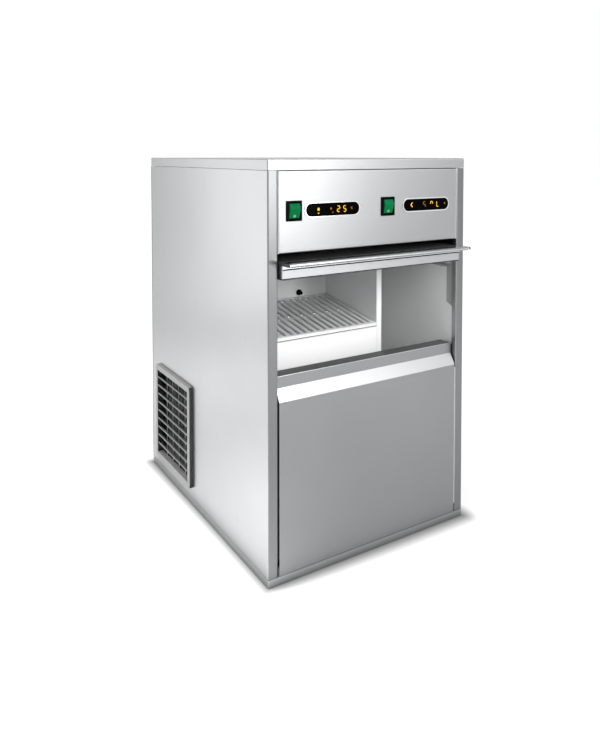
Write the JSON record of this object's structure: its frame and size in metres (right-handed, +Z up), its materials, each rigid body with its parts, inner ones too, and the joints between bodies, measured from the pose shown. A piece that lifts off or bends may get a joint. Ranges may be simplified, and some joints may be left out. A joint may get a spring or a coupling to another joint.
{
  "type": "flake ice maker",
  "caption": "Free-standing stainless flake ice maker with a slide-in bin door, slatted ice slide, side vent grille and auger evaporator.",
  "frame": {"origin": "centre of the underside of the base, on the floor", "axes": "+Z up, +Y from the front to the back, +X to the right as seen from the front"},
  "size_m": [0.4115, 0.5573, 0.655],
  "materials": {
    "steel_panel": "brushed stainless, satin",
    "bright_trim": "bright metal",
    "white_plastic": "smooth moulded",
    "grey_plastic": "moulded, matt",
    "black_plastic": "moulded, matt",
    "vent_plastic": "moulded grille",
    "foam": "rigid foam",
    "green_lens": "translucent green",
    "display_glass": "smoked window",
    "board_green": "circuit board",
    "zinc_steel": "zinc plated",
    "black_enamel": "black enamel",
    "cast_metal": "cast",
    "fin_metal": "fin stock",
    "copper": "drawn copper",
    "rubber": "moulded",
    "shaft_steel": "machined",
    "brass_part": "machined",
    "grate_plastic": "moulded slats",
    "nylon": "running surface"
  },
  "bodies": {
    "cabinet": {"base_pan": "steel_panel", "left_side_panel": "steel_panel", "right_side_panel": "steel_panel", "back_panel": "steel_panel", "top_cover": "steel_panel", "fascia_panel": "steel_panel", "lower_front_panel": "steel_panel", "sill_strip": "grey_plastic", "side_vent_grille": "vent_plastic", "panel_screws": "bright_trim", "bin_liner": "white_plastic", "bin_insulation": "foam", "bin_supports": "zinc_steel", "divider": "white_plastic", "water_tank": "white_plastic", "ice_grate": "grate_plastic", "ice_level_sensor": "black_plastic", "door_guide_rails": "grey_plastic", "switch_housings": "black_plastic", "display_bezels": "bright_trim", "display_lenses": "display_glass", "display_boards": "board_green", "control_box": "zinc_steel", "control_board": "board_green", "evaporator_barrel": "shaft_steel", "barrel_insulation": "foam", "ice_head": "cast_metal", "auger_bearings": "brass_part", "drum_housing": "cast_metal", "drive_gearbox": "cast_metal", "drive_motor": "black_enamel", "ice_chute": "shaft_steel", "compressor": "black_enamel", "compressor_grommets": "rubber", "compressor_terminal_cover": "black_plastic", "condenser": "fin_metal", "fan_shroud": "zinc_steel", "fan_motor": "black_enamel", "fan_bracket": "zinc_steel", "filter_drier": "copper", "refrigerant_pipes": "copper", "water_inlet_valve": "black_plastic", "water_pipes": "white_plastic", "float_valve": "white_plastic", "drain_pipe": "grey_plastic", "power_inlet": "black_plastic"},
    "door_carriage": {"door_rollers": "nylon"},
    "door": {"door_skin": "steel_panel", "door_liner": "white_plastic", "door_insulation": "foam", "door_handle": "bright_trim", "door_handle_caps": "grey_plastic", "door_hinge_pins": "shaft_steel"},
    "left_switch": {"left_rocker": "green_lens"},
    "right_switch": {"right_rocker": "green_lens"},
    "fan": {"fan_rotor": "black_plastic"},
    "auger_drive": {"auger": "shaft_steel", "output_coupling": "shaft_steel"},
    "float": {"float_arm": "nylon"}
  },
  "joints": [
    {"name": "door_slide", "type": "slide", "parent": "cabinet", "child": "door_carriage", "axis": [0, -1, 0], "range_m": [0, 0.1341]},
    {"name": "door_swing", "type": "hinge", "parent": "door_carriage", "child": "door", "pos_m": [0, -0.1025, 0.4649], "axis": [1, 0, 0], "range_deg": [0, 90]},
    {"name": "left_switch_rock", "type": "hinge", "parent": "cabinet", "child": "left_switch", "pos_m": [-0.15649, -0.2514, 0.57542], "axis": [1, 0, 0], "range_deg": [-18, 0]},
    {"name": "right_switch_rock", "type": "hinge", "parent": "cabinet", "child": "right_switch", "pos_m": [0.02649, -0.2514, 0.57542], "axis": [1, 0, 0], "range_deg": [-18, 0]},
    {"name": "fan_spin", "type": "hinge", "parent": "cabinet", "child": "fan", "pos_m": [-0.14, 0.134, 0.128], "axis": [1, 0, 0], "continuous": true},
    {"name": "auger_spin", "type": "hinge", "parent": "cabinet", "child": "auger_drive", "pos_m": [0, 0.138, 0.3], "axis": [0, 0, 1], "continuous": true},
    {"name": "float_pivot", "type": "hinge", "parent": "cabinet", "child": "float", "pos_m": [-0.15001, 0.0145, 0.33497], "axis": [1, 0, 0], "range_deg": [-6, 12]}
  ],
  "couplings": [
    {"joint": "door_swing", "follows": "door_slide", "rad_per_m": 11.713}
  ]
}
